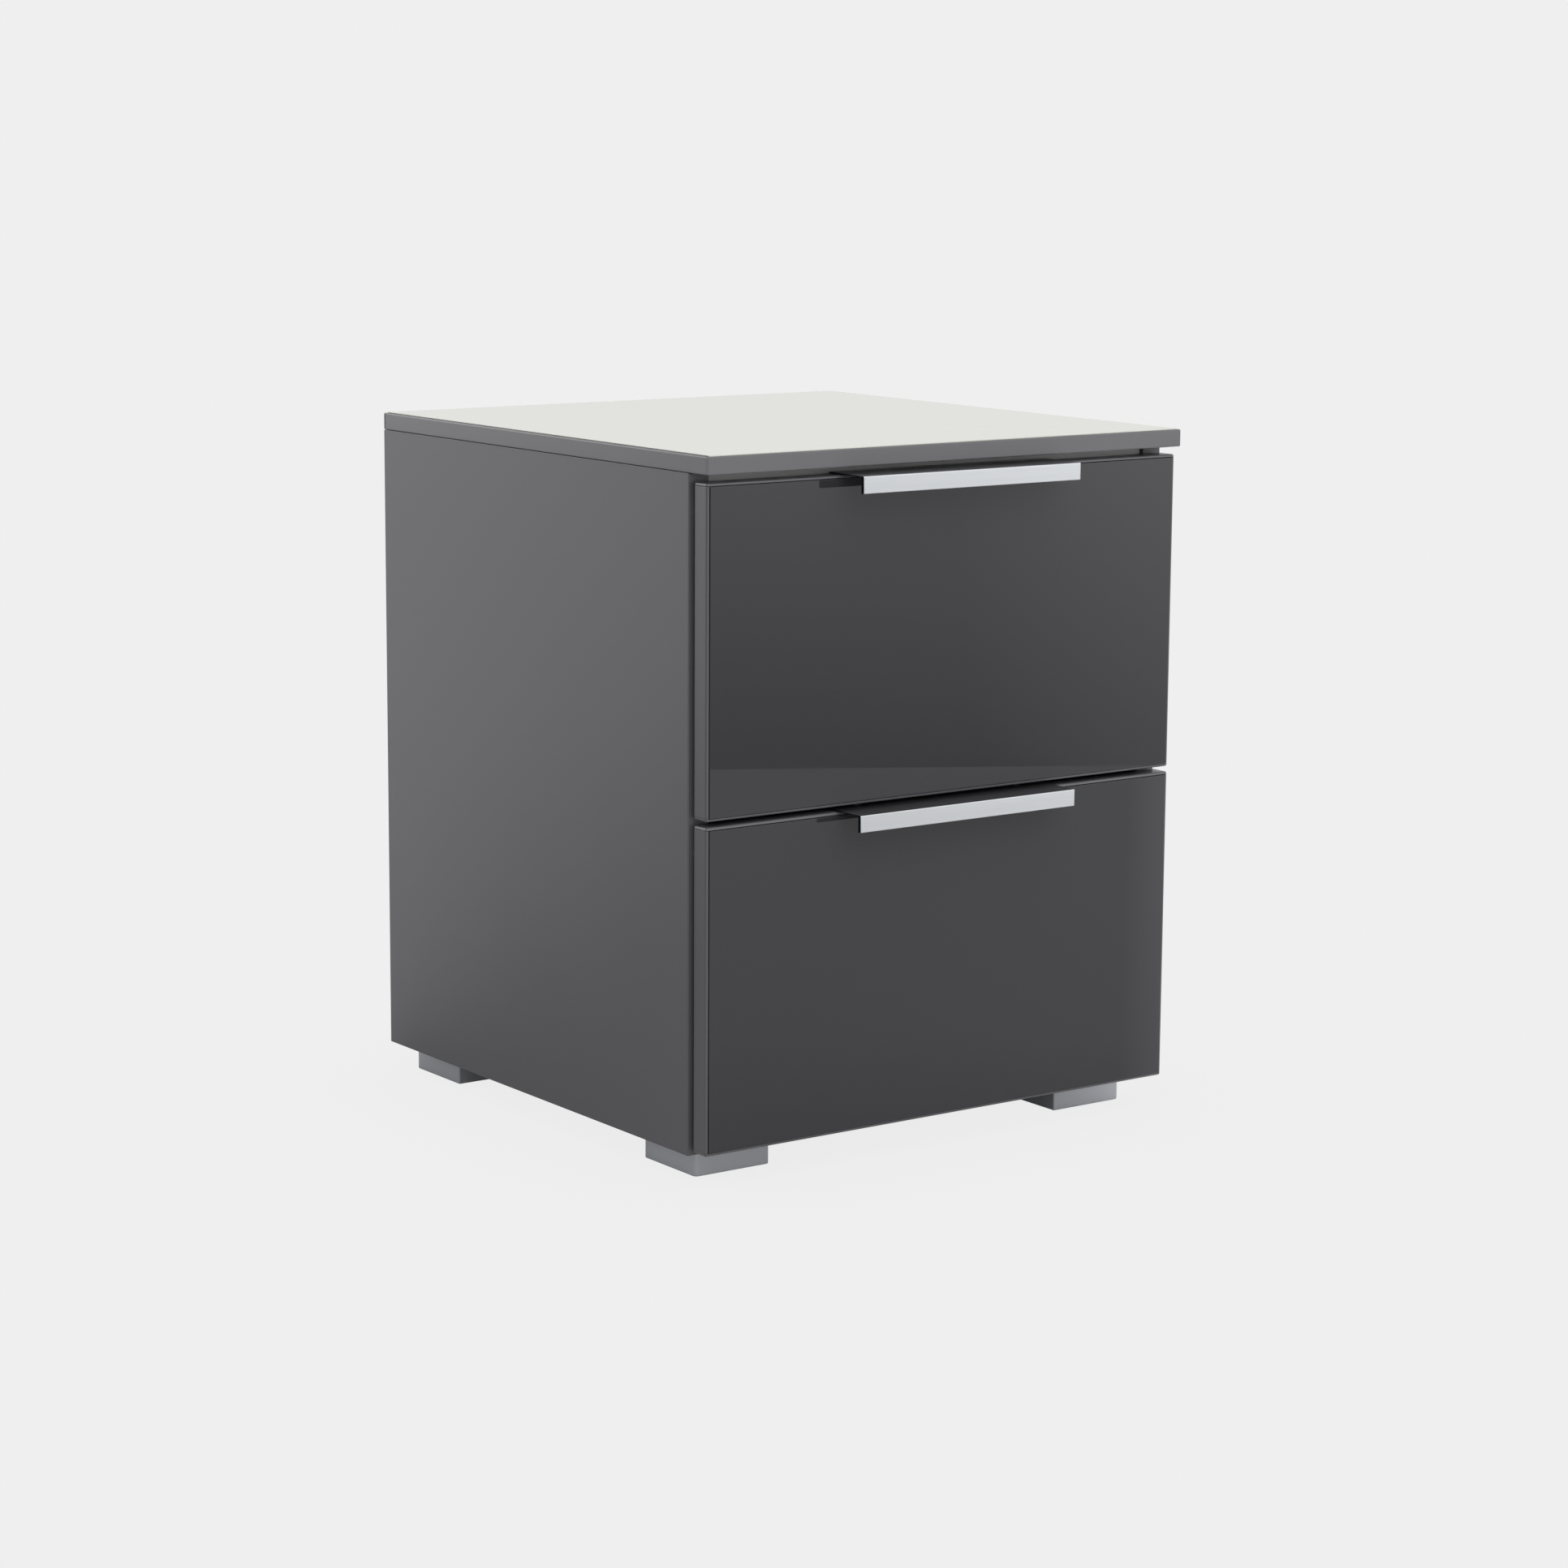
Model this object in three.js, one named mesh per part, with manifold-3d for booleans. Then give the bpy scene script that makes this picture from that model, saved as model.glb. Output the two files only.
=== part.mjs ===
// A two-drawer nightstand: a board carcass on four block feet, with a pale glass top and two glass-faced
// drawers that run on steel roller runners.
// Millimetres. +X is to the right as seen from the front, -Y comes out of the front and +Z is up.
// The origin is on the floor, under the middle of the outer box, handles included.
import * as THREE from "three";
import { mergeVertices } from "three/addons/utils/BufferGeometryUtils.js";
import Module from "manifold-3d";

const wasm = await Module();
wasm.setup();

// Driving dimensions
const width = 410; // over the side panels
const carcassDepth = 400; // side panels, front edge to back edge
const sideHeight = 465; // side panels, from the feet to the top
const panelThickness = 16; // side panels, bottom panel and front rail

const gap = 0.2; // between pieces that touch
const runningGap = 0.1; // between a roller and its pin, or between a roller and the flange on it

const glassThickness = 4;
const glassProud = 0.7; // glass stands out past the edging round it
const edging = { thickness: 2, cornerRadius: 2.5 };
const top = { thickness: 13, overhang: 22, edgeRadius: 1 };
const foot = { size: 62, height: 20, cornerRadius: 2.5, edgeRadius: 1.2, sideInset: 15, endInset: 13 };
const footScrew = { headRadius: 4.5, headHeight: 3, shankRadius: 2, bite: 12, counterbore: 6, recess: 9 };
const backPanel = { thickness: 3, inset: 10, grooveDepth: 6 };
const rail = { depth: 80, setback: 3 }; // setback from the front edges of the side panels
const cam = { radius: 7.5, depth: 12, below: 34, endInset: 37, slot: 2, slotDepth: 3 };

const front = {
  thickness: 16, // board, glass and edging together
  standOff: 3, // room for the bumpers between a front and the side panels
  sideReveal: 2, // side panel that shows beside a front
  topReveal: 5.4, // under the top board
  bottomReveal: 3, // above the bottom edge of the side panels
  spacing: 3.8, // between the two fronts
  edgeRadius: 1.5,
};
const bumper = { radius: 4, below: 20 };
const handle = {
  length: 188,
  reach: 25.5, // from the face of the front to the face of the bar
  height: 12,
  wall: 3,
  flange: 1.2,
  rearInset: 2, // flange short of the back of the front board
  screwSpacing: 140,
};
const handleScrew = { headRadius: 3, shankRadius: 1.5, length: 16 };

const drawer = {
  rearClearance: 40, // drawer sides to the back panel
  topClearance: 54, // drawer sides below the top edge of the front
  wall: 12,
  lift: 20, // drawer sides above the bottom edge of the front
  bottomThickness: 3,
  bottomRise: 10, // groove for the drawer bottom above the lower edge of the sides
  grooveDepth: 5,
};
const runner = {
  steel: 1.2,
  setback: 2, // cabinet runner behind the front edge of the side panels
  rearClearance: 35, // cabinet runner to the back panel
  lipReach: 8, // drawer runner's lip under the drawer side
  lipRise: 2, // the lip above the cabinet runner's lower edge
  sideClearance: 1, // drawer runner's flange to the cabinet runner's web
  webClearance: 0.7, // cabinet runner's flanges to the drawer runner's web
  tipClearance: 2.2, // drawer runner's flange to the cabinet runner's upper flange
};
const roller = {
  radius: 9,
  width: 7,
  endPlay: 0.6, // on each side, between web and pin head
  pinRadius: 2.5,
  headRadius: 4,
  headThickness: 0.8,
  endInset: 12,
};

// Places that follow from the sizes. Y is counted from the front edge of the side panels in here.
const innerHalf = width / 2 - panelThickness; // inner face of a side panel
const frontRear = -front.standOff; // back face of the drawer fronts
const frontFace = frontRear - front.thickness;
const handleFace = frontFace - handle.reach;
const centreY = (carcassDepth + handleFace) / 2;
const carcassTop = foot.height + sideHeight;
const backFace = carcassDepth - backPanel.inset - backPanel.thickness; // front face of the back panel
const frontWidth = width - 2 * front.sideReveal;
const frontHeight = (sideHeight - front.topReveal - front.spacing - front.bottomReveal) / 2;
const boardThickness = front.thickness - glassThickness - gap;
const boardRear = frontRear - gap;
const drawerRear = backFace - drawer.rearClearance; // rear ends of the drawer sides
const drawerSideTop = frontHeight - drawer.topClearance;

// Runners: distances from the side panel toward the drawer, and heights above the front's bottom edge
const webFace = gap + runner.steel; // inner face of the cabinet runner's web
const flangeReach = webFace + roller.width + 2 * roller.endPlay + roller.headThickness;
const drawerWebFace = flangeReach + runner.webClearance;
const drawerSideFace = drawerWebFace + runner.steel + gap;
const drawerHalf = innerHalf - drawerSideFace; // outer face of a drawer side, from the middle
const runnerBottom = drawer.lift - gap - runner.steel - runner.lipRise;
const rollerHeight = runnerBottom + runner.steel + runningGap + roller.radius;
const flangeHeight = rollerHeight + roller.radius + runningGap;
const runnerTop = flangeHeight + 2 * runner.steel + runner.tipClearance;
const sides = [
  ["left", -1],
  ["right", 1],
];

function material(color, roughness, metalness) {
  return new THREE.MeshStandardMaterial({ color, roughness, metalness });
}
const graphiteBoard = material(0x626164, 0.5, 0);
const graphiteEdging = material(0x6f6f72, 0.4, 0);
const greyGlass = material(0x46464a, 0.08, 0);
const paleGlass = material(0xe1e2dd, 0.15, 0);
const aluminium = material(0xd2d5d7, 0.35, 1);
const silverPlastic = material(0x85868c, 0.35, 0.3);
const drawerBoard = material(0x8f8f91, 0.6, 0);
const hardboard = material(0x77777a, 0.7, 0);
const whiteSteel = material(0xd9d9d6, 0.4, 0.2);
const nylon = material(0xececE8, 0.5, 0);
const zinc = material(0xb4b6b8, 0.4, 1);
const clearRubber = material(0xc8cacb, 0.6, 0);

// Geometry helpers
function toSolid(geometry) {
  const bare = geometry.clone();
  bare.deleteAttribute("normal");
  bare.deleteAttribute("uv");
  const merged = mergeVertices(bare, 1e-4);
  return new wasm.Manifold(
    new wasm.Mesh({
      numProp: 3,
      vertProperties: merged.attributes.position.array,
      triVerts: new Uint32Array(merged.index.array),
    }),
  );
}

function toGeometry(solid) {
  const mesh = solid.getMesh();
  const geometry = new THREE.BufferGeometry();
  geometry.setAttribute("position", new THREE.BufferAttribute(mesh.vertProperties, 3));
  geometry.setIndex(new THREE.BufferAttribute(mesh.triVerts, 1));
  geometry.computeVertexNormals();
  return geometry;
}

function cut(geometry, tools) {
  return toGeometry(tools.reduce((solid, tool) => solid.subtract(toSolid(tool)), toSolid(geometry)));
}

function join(geometry, pieces) {
  return toGeometry(pieces.reduce((solid, piece) => solid.add(toSolid(piece)), toSolid(geometry)));
}

function block([x0, x1], [y0, y1], [z0, z1]) {
  const geometry = new THREE.BoxGeometry(x1 - x0, y1 - y0, z1 - z0);
  return geometry.translate((x0 + x1) / 2, (y0 + y1) / 2, (z0 + z1) / 2);
}

// A round bar along an axis, from one end to the other; across holds its other two coordinates.
function roundBar(axis, radius, [from, to], across, segments = 24) {
  const geometry = new THREE.CylinderGeometry(radius, radius, Math.abs(to - from), segments);
  const middle = (from + to) / 2;
  if (axis === "x") return geometry.rotateZ(Math.PI / 2).translate(middle, across[0], across[1]);
  if (axis === "y") return geometry.translate(across[0], middle, across[1]);
  return geometry.rotateX(Math.PI / 2).translate(across[0], across[1], middle);
}

function outline(points) {
  return new THREE.Shape(points.map(([a, b]) => new THREE.Vector2(a, b)));
}

function roundedRectangle(w, h, radius) {
  const shape = new THREE.Shape();
  const x = w / 2 - radius;
  const y = h / 2 - radius;
  shape.absarc(x, y, radius, 0, Math.PI / 2);
  shape.absarc(-x, y, radius, Math.PI / 2, Math.PI);
  shape.absarc(-x, -y, radius, Math.PI, 1.5 * Math.PI);
  shape.absarc(x, -y, radius, 1.5 * Math.PI, 2 * Math.PI);
  return shape;
}

// An outline in Y and Z, drawn out along X.
function alongX(points, [from, to]) {
  const geometry = new THREE.ExtrudeGeometry(outline(points), { depth: to - from, bevelEnabled: false });
  const turn = new THREE.Matrix4().makeBasis(
    new THREE.Vector3(0, 1, 0),
    new THREE.Vector3(0, 0, 1),
    new THREE.Vector3(1, 0, 0),
  );
  return geometry.applyMatrix4(turn).translate(from, 0, 0);
}

// An outline in X and Z, drawn out along Y.
function alongY(points, [from, to]) {
  const geometry = new THREE.ExtrudeGeometry(outline(points), { depth: to - from, bevelEnabled: false });
  return geometry.rotateX(Math.PI / 2).translate(0, to, 0);
}

// An outline in X and Y, drawn out along Z.
function alongZ(points, [from, to]) {
  const geometry = new THREE.ExtrudeGeometry(outline(points), { depth: to - from, bevelEnabled: false });
  return geometry.translate(0, 0, from);
}

// A slab with rounded corners and edges, flat on XY and centred there, from z = 0 up.
function softSlab(w, h, thickness, cornerRadius, edgeRadius) {
  return new THREE.ExtrudeGeometry(
    roundedRectangle(w - 2 * edgeRadius, h - 2 * edgeRadius, cornerRadius - edgeRadius),
    {
      depth: thickness - 2 * edgeRadius,
      bevelThickness: edgeRadius,
      bevelSize: edgeRadius,
      bevelSegments: 3,
      curveSegments: 4,
    },
  ).translate(0, 0, edgeRadius);
}

// The plastic edging round a board of w by h: a ring as deep as the board is thick.
function edgingRing(w, h, thickness, edgeRadius) {
  const halfW = w / 2 - edging.thickness;
  const halfH = h / 2 - edging.thickness;
  return cut(softSlab(w, h, thickness, edging.cornerRadius, edgeRadius), [
    block([-halfW, halfW], [-halfH, halfH], [-1, thickness + 1]),
  ]);
}

function addMesh(parent, name, geometry, finish, [x, y, z] = [0, 0, 0]) {
  const mesh = new THREE.Mesh(geometry, finish);
  mesh.name = name;
  mesh.position.set(x, y, z);
  parent.add(mesh);
  return mesh;
}

// Top: a board and a pale glass sheet inside one ring of edging
function makeTop(parent) {
  const depth = carcassDepth + top.overhang;
  const middleY = (carcassDepth - top.overhang) / 2;
  const bottomZ = carcassTop + gap;
  const boardHeight = top.thickness - glassThickness - gap;
  const innerW = width - 2 * edging.thickness - 2 * gap;
  const innerD = depth - 2 * edging.thickness - 2 * gap;
  const ring = edgingRing(width, depth, top.thickness - glassProud, top.edgeRadius);
  addMesh(parent, "top_edging", ring, graphiteEdging, [0, middleY, bottomZ]);
  const board = new THREE.BoxGeometry(innerW, innerD, boardHeight);
  addMesh(parent, "top_board", board, graphiteBoard, [0, middleY, bottomZ + boardHeight / 2]);
  const glass = new THREE.BoxGeometry(innerW, innerD, glassThickness);
  const glassZ = bottomZ + top.thickness - glassThickness / 2;
  addMesh(parent, "top_glass", glass, paleGlass, [0, middleY, glassZ]);
}

// Side panel with a groove for the back panel and two blind holes for the cams that hold the top
function makeSidePanel(parent, side, sign) {
  const outer = (sign * width) / 2;
  const inner = sign * innerHalf;
  const grooveBottom = sign * (innerHalf + backPanel.grooveDepth);
  const grooveFront = backFace - gap;
  const grooveBack = backFace + backPanel.thickness + gap;
  const plan = [
    [outer, 0],
    [outer, carcassDepth],
    [inner, carcassDepth],
    [inner, grooveBack],
    [grooveBottom, grooveBack],
    [grooveBottom, grooveFront],
    [inner, grooveFront],
    [inner, 0],
  ];
  const camZ = carcassTop - cam.below;
  const camEnds = [inner - sign * gap, inner + sign * (cam.depth + gap)];
  const camYs = [cam.endInset, backFace - cam.endInset];
  const holes = camYs.map((y) => roundBar("x", cam.radius + gap, camEnds, [y, camZ]));
  const panel = cut(alongZ(plan, [foot.height + gap, carcassTop]), holes);
  addMesh(parent, side + "_side_panel", panel, graphiteBoard);

  ["front", "rear"].forEach((end, i) => {
    const body = roundBar("x", cam.radius, [inner, inner + sign * cam.depth], [camYs[i], camZ]);
    const slotX = [inner - sign, inner + sign * cam.slotDepth].sort((a, b) => a - b);
    const around = (centre, size) => [centre - size / 2, centre + size / 2];
    const slots = [
      block(slotX, around(camYs[i], cam.radius), around(camZ, cam.slot)),
      block(slotX, around(camYs[i], cam.slot), around(camZ, cam.radius)),
    ];
    addMesh(parent, `${side}_${end}_cam`, cut(body, slots), zinc);
  });
}

// Centres of the four feet, with their names
function footPlaces() {
  const x = width / 2 - foot.sideInset - foot.size / 2;
  const ends = [
    ["front", foot.endInset + foot.size / 2],
    ["rear", carcassDepth - foot.endInset - foot.size / 2],
  ];
  return sides.flatMap(([side, sign]) => ends.map(([end, y]) => [`${end}_${side}`, sign * x, y]));
}

function makeFeet(parent) {
  for (const [place, x, y] of footPlaces()) {
    const holes = [
      roundBar("z", footScrew.counterbore, [-1, footScrew.recess], [0, 0]),
      roundBar("z", footScrew.shankRadius + gap, [0, foot.height + 1], [0, 0], 16),
    ];
    const slab = softSlab(foot.size, foot.size, foot.height, foot.cornerRadius, foot.edgeRadius);
    addMesh(parent, place + "_foot", cut(slab, holes), silverPlastic, [x, y, 0]);

    const headTop = footScrew.recess - gap;
    const head = roundBar("z", footScrew.headRadius, [headTop - footScrew.headHeight, headTop], [0, 0]);
    const shankEnds = [headTop - 1, foot.height + footScrew.bite];
    const screw = join(head, [roundBar("z", footScrew.shankRadius, shankEnds, [0, 0], 16)]);
    addMesh(parent, place + "_foot_screw", screw, zinc, [x, y, 0]);
  }
}

function makeCarcass(parent) {
  makeTop(parent);
  for (const [side, sign] of sides) makeSidePanel(parent, side, sign);

  const halfW = innerHalf - gap;
  const bottomZ = foot.height + gap;
  const screwHoles = footPlaces().map(([, x, y]) =>
    roundBar("z", footScrew.shankRadius + gap, [0, foot.height + footScrew.bite + gap], [x, y], 16),
  );
  const bottom = block([-halfW, halfW], [0, backFace - gap], [bottomZ, bottomZ + panelThickness]);
  addMesh(parent, "bottom_panel", cut(bottom, screwHoles), graphiteBoard);

  const railZ = carcassTop - panelThickness;
  const railBox = block([-halfW, halfW], [rail.setback, rail.setback + rail.depth], [railZ, carcassTop]);
  addMesh(parent, "front_rail", railBox, drawerBoard);

  const backHalf = innerHalf + backPanel.grooveDepth - gap;
  const backYs = [backFace, backFace + backPanel.thickness];
  addMesh(parent, "back_panel", block([-backHalf, backHalf], backYs, [bottomZ, carcassTop]), hardboard);

  makeFeet(parent);
}

// Roller runners. A place is given by its distance from the side panel, toward the drawer, and its height.
function toSide(sign, points) {
  return points.map(([fromPanel, z]) => [sign * (innerHalf - fromPanel), z]);
}

// A pin with a head, along X: the head is at the end that is not held.
function rollerPin(sign, heldAt, endAt, y) {
  const inward = Math.sign(endAt - heldAt);
  const [held, end, neck] = [heldAt, endAt, endAt - inward * roller.headThickness].map(
    (fromPanel) => sign * (innerHalf - fromPanel),
  );
  return [
    roundBar("x", roller.pinRadius, [held, end], [y, rollerHeight]),
    roundBar("x", roller.headRadius, [neck, end], [y, rollerHeight]),
  ];
}

// The roller turns about its own pin, which stands for the axis of its joint.
function makeRoller(parent, name, sign, middleAt, y) {
  const half = roller.width / 2;
  const tyre = roundBar("x", roller.radius, [-half, half], [0, 0], 32);
  const bore = roundBar("x", roller.pinRadius + runningGap, [-half - 1, half + 1], [0, 0]);
  addMesh(parent, name, cut(tyre, [bore]), nylon, [sign * (innerHalf - middleAt), y, rollerHeight]);
}

function makeCabinetRunner(parent, level, side, sign) {
  const { steel, setback, rearClearance } = runner;
  const section = [
    [gap, runnerBottom],
    [flangeReach, runnerBottom],
    [flangeReach, runnerBottom + steel],
    [webFace, runnerBottom + steel],
    [webFace, runnerTop - steel],
    [flangeReach, runnerTop - steel],
    [flangeReach, runnerTop],
    [gap, runnerTop],
  ];
  const rollerY = setback + roller.endInset;
  const profile = alongY(toSide(sign, section), [setback, backFace - rearClearance]);
  const pin = rollerPin(sign, gap + steel / 2, flangeReach, rollerY);
  addMesh(parent, `${level}_${side}_cabinet_runner`, join(profile, pin), whiteSteel);

  const middleAt = (webFace + flangeReach - roller.headThickness) / 2;
  makeRoller(parent, `${level}_${side}_cabinet_roller`, sign, middleAt, rollerY);
}

function makeDrawerRunner(parent, level, side, sign) {
  const { steel, sideClearance, lipReach } = runner;
  const webBack = drawerWebFace + steel;
  const flangeEnd = webFace + sideClearance;
  const lip = runnerBottom + runner.lipRise;
  const section = [
    [flangeEnd, flangeHeight],
    [drawerWebFace, flangeHeight],
    [drawerWebFace, lip],
    [webBack + lipReach, lip],
    [webBack + lipReach, lip + steel],
    [webBack, lip + steel],
    [webBack, flangeHeight + steel],
    [flangeEnd, flangeHeight + steel],
  ];
  const rollerY = drawerRear - roller.endInset;
  const profile = alongY(toSide(sign, section), [boardRear + 2 * gap, drawerRear]);
  const pin = rollerPin(sign, drawerWebFace + steel / 2, flangeEnd, rollerY);
  addMesh(parent, `${level}_${side}_drawer_runner`, join(profile, pin), whiteSteel);

  const middleAt = (drawerWebFace + flangeEnd + roller.headThickness) / 2;
  makeRoller(parent, `${level}_${side}_drawer_roller`, sign, middleAt, rollerY);
}

// Drawer front: a board and a glass sheet inside one ring of edging, with the handle on its upper edge
function makeFront(parent, level) {
  const halfW = frontWidth / 2 - edging.thickness - gap;
  const lowZ = edging.thickness + gap;
  const highZ = frontHeight - edging.thickness - gap;
  const screwY = frontRear - (front.thickness - glassThickness) / 2;
  const screwHoles = [-1, 1].map((sign) =>
    roundBar(
      "z",
      handleScrew.shankRadius + gap,
      [frontHeight - handleScrew.length - 1, frontHeight + 1],
      [(sign * handle.screwSpacing) / 2, screwY],
      16,
    ),
  );

  const ring = edgingRing(frontWidth, frontHeight, front.thickness - glassProud, front.edgeRadius);
  ring.rotateX(Math.PI / 2).translate(0, frontRear, frontHeight / 2);
  addMesh(parent, level + "_front_edging", cut(ring, screwHoles), graphiteEdging);

  const grooveLow = drawer.lift + drawer.bottomRise;
  const grooveHigh = grooveLow + drawer.bottomThickness + 2 * gap;
  const boardFront = boardRear - boardThickness;
  const section = [
    [boardFront, lowZ],
    [boardRear, lowZ],
    [boardRear, grooveLow],
    [boardRear - drawer.grooveDepth, grooveLow],
    [boardRear - drawer.grooveDepth, grooveHigh],
    [boardRear, grooveHigh],
    [boardRear, highZ],
    [boardFront, highZ],
  ];
  addMesh(parent, level + "_front_board", cut(alongX(section, [-halfW, halfW]), screwHoles), graphiteBoard);

  const glass = block([-halfW, halfW], [frontFace, frontFace + glassThickness - gap], [lowZ, highZ]);
  addMesh(parent, level + "_front_glass", glass, greyGlass);

  for (const [side, sign] of sides) {
    const x = sign * (width / 2 - panelThickness / 2);
    const pad = roundBar("y", bumper.radius, [frontRear + gap, -gap], [x, frontHeight - bumper.below]);
    addMesh(parent, `${level}_${side}_bumper`, pad, clearRubber);
  }
  makeHandle(parent, level, screwY);
}

function makeHandle(parent, level, screwY) {
  const low = frontHeight + gap;
  const high = low + handle.flange;
  const section = [
    [handleFace, high],
    [handleFace, high - handle.height],
    [handleFace + handle.wall, high - handle.height],
    [handleFace + handle.wall, low],
    [frontRear - handle.rearInset, low],
    [frontRear - handle.rearInset, high],
  ];
  const { headRadius, shankRadius, length } = handleScrew;
  const headDepth = headRadius - shankRadius; // a 90 degree countersink
  // From the tip of the screw to the rim of its head, as radius and height under the head's flat top.
  const countersunk = (clearance) =>
    new THREE.LatheGeometry(
      [
        [0, -length - 3 * clearance],
        [shankRadius + clearance, -length - 3 * clearance],
        [shankRadius + clearance, -headDepth - clearance],
        [headRadius + clearance, 0],
        [headRadius + clearance, clearance],
        [0, clearance],
      ].map(([r, z]) => new THREE.Vector2(r, z)),
      24,
    ).rotateX(Math.PI / 2);

  const places = sides.map(([side, sign]) => [side, (sign * handle.screwSpacing) / 2]);
  const holes = places.map(([, x]) => countersunk(gap).translate(x, screwY, high));
  const profile = alongX(section, [-handle.length / 2, handle.length / 2]);
  addMesh(parent, level + "_handle", cut(profile, holes), aluminium);
  for (const [side, x] of places) {
    addMesh(parent, `${level}_${side}_handle_screw`, countersunk(0), zinc, [x, screwY, high]);
  }
}

function makeDrawerBox(parent, level) {
  const { wall, lift, grooveDepth, bottomThickness } = drawer;
  const grooveLow = lift + drawer.bottomRise;
  const grooveHigh = grooveLow + bottomThickness + 2 * gap;
  const inner = drawerHalf - wall;
  for (const [side, sign] of sides) {
    const section = [
      [drawerHalf, lift],
      [drawerHalf, drawerSideTop],
      [inner, drawerSideTop],
      [inner, grooveHigh],
      [inner + grooveDepth, grooveHigh],
      [inner + grooveDepth, grooveLow],
      [inner, grooveLow],
      [inner, lift],
    ].map(([x, z]) => [sign * x, z]);
    addMesh(parent, `${level}_drawer_${side}_side`, alongY(section, [frontRear, drawerRear]), drawerBoard);
  }
  const backHalf = inner - gap;
  const back = block([-backHalf, backHalf], [drawerRear - wall, drawerRear], [grooveHigh, drawerSideTop]);
  addMesh(parent, level + "_drawer_back", back, drawerBoard);

  const half = inner + grooveDepth - gap;
  const bottom = block(
    [-half, half],
    [boardRear - grooveDepth + gap, drawerRear],
    [grooveLow + gap, grooveLow + gap + bottomThickness],
  );
  addMesh(parent, level + "_drawer_bottom", bottom, hardboard);
}

// The object: everything is drawn from the front edge of the side panels, then moved over the origin
const nightstand = new THREE.Group();
const assembly = new THREE.Group();
assembly.position.y = -centreY;
nightstand.add(assembly);
makeCarcass(assembly);

const lowerFront = foot.height + front.bottomReveal;
const levels = [
  ["lower", lowerFront],
  ["upper", lowerFront + frontHeight + front.spacing],
];
for (const [level, frontBottom] of levels) {
  const storey = new THREE.Group(); // its z = 0 is the bottom edge of the drawer front
  storey.position.z = frontBottom;
  assembly.add(storey);
  for (const [side, sign] of sides) {
    makeCabinetRunner(storey, level, side, sign);
    makeDrawerRunner(storey, level, side, sign);
  }
  makeFront(storey, level);
  makeDrawerBox(storey, level);
}

export default nightstand;
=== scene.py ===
import math

import bmesh
import bpy
from mathutils import Matrix, Vector


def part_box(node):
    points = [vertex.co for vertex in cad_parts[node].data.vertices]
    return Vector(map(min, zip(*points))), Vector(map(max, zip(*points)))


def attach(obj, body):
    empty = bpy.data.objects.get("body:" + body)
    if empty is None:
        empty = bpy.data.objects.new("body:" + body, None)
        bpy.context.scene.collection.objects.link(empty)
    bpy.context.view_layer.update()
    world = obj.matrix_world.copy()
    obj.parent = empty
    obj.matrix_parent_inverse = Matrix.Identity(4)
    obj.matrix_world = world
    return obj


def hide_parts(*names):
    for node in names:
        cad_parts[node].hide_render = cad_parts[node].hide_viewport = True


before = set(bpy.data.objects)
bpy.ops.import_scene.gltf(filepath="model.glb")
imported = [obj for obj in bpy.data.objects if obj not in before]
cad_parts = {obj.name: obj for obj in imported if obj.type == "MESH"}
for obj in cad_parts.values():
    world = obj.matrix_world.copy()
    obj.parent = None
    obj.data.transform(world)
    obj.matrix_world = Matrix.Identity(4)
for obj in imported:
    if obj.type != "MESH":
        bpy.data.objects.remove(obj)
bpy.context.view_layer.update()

mm = 0.001
axisX, axisY, axisZ = Vector((1, 0, 0)), Vector((0, 1, 0)), Vector((0, 0, 1))
sides = {"left": -1, "right": 1}
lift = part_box("upper_front_board")[0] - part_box("lower_front_board")[0]  # from drawer to drawer
fitGap = 0.2 * mm  # between parts that touch
onPlane = 0.1 * mm  # how near to a plane an edge is picked
onCorner = 0.01 * mm
squarely = 0.9  # least cosine between a face's normal and the axis it looks along
parallel = 0.99  # least cosine between an edge and the axis it runs along
inX, inY, inZ = range(3)  # places in a Vector

# camera
viewpoint = {
    "place": (-1.67547, -2.32994, 0.73452),
    "turn": (80.0518, -0.3427, -35.6877),  # degrees about X, Y and Z
    "lens": 90.87,
}


def addCamera():
    data = bpy.data.cameras.new("camera")
    data.sensor_width = 36
    data.lens = viewpoint["lens"]
    camera = bpy.data.objects.new("camera", data)
    camera.location = viewpoint["place"]
    camera.rotation_euler = [math.radians(angle) for angle in viewpoint["turn"]]
    bpy.context.scene.collection.objects.link(camera)
    bpy.context.scene.camera = camera


addCamera()
print("camera placed")


# modelling helpers
def deselectAll():
    if bpy.context.object and bpy.context.object.mode != "OBJECT":
        bpy.ops.object.mode_set(mode="OBJECT")
    bpy.ops.object.select_all(action="DESELECT")


def pickOnly(piece):
    deselectAll()
    piece.select_set(True)
    bpy.context.view_layer.objects.active = piece


def settle(piece):
    pickOnly(piece)
    bpy.ops.object.transform_apply(location=True, rotation=True, scale=True)
    return piece


def addBlock(name, low, high):
    low, high = Vector(low), Vector(high)
    deselectAll()
    bpy.ops.mesh.primitive_cube_add(size=1, location=(low + high) / 2)
    piece = bpy.context.object
    piece.name = piece.data.name = name
    piece.scale = high - low
    return settle(piece)


def addRound(name, start, end, radius, vertices=48):
    start, end = Vector(start), Vector(end)
    deselectAll()
    bpy.ops.mesh.primitive_cylinder_add(
        vertices=vertices,
        radius=radius,
        depth=(end - start).length,
        location=(start + end) / 2,
        rotation=(end - start).to_track_quat("Z", "Y").to_euler(),
    )
    piece = bpy.context.object
    piece.name = piece.data.name = name
    return settle(piece)


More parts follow.
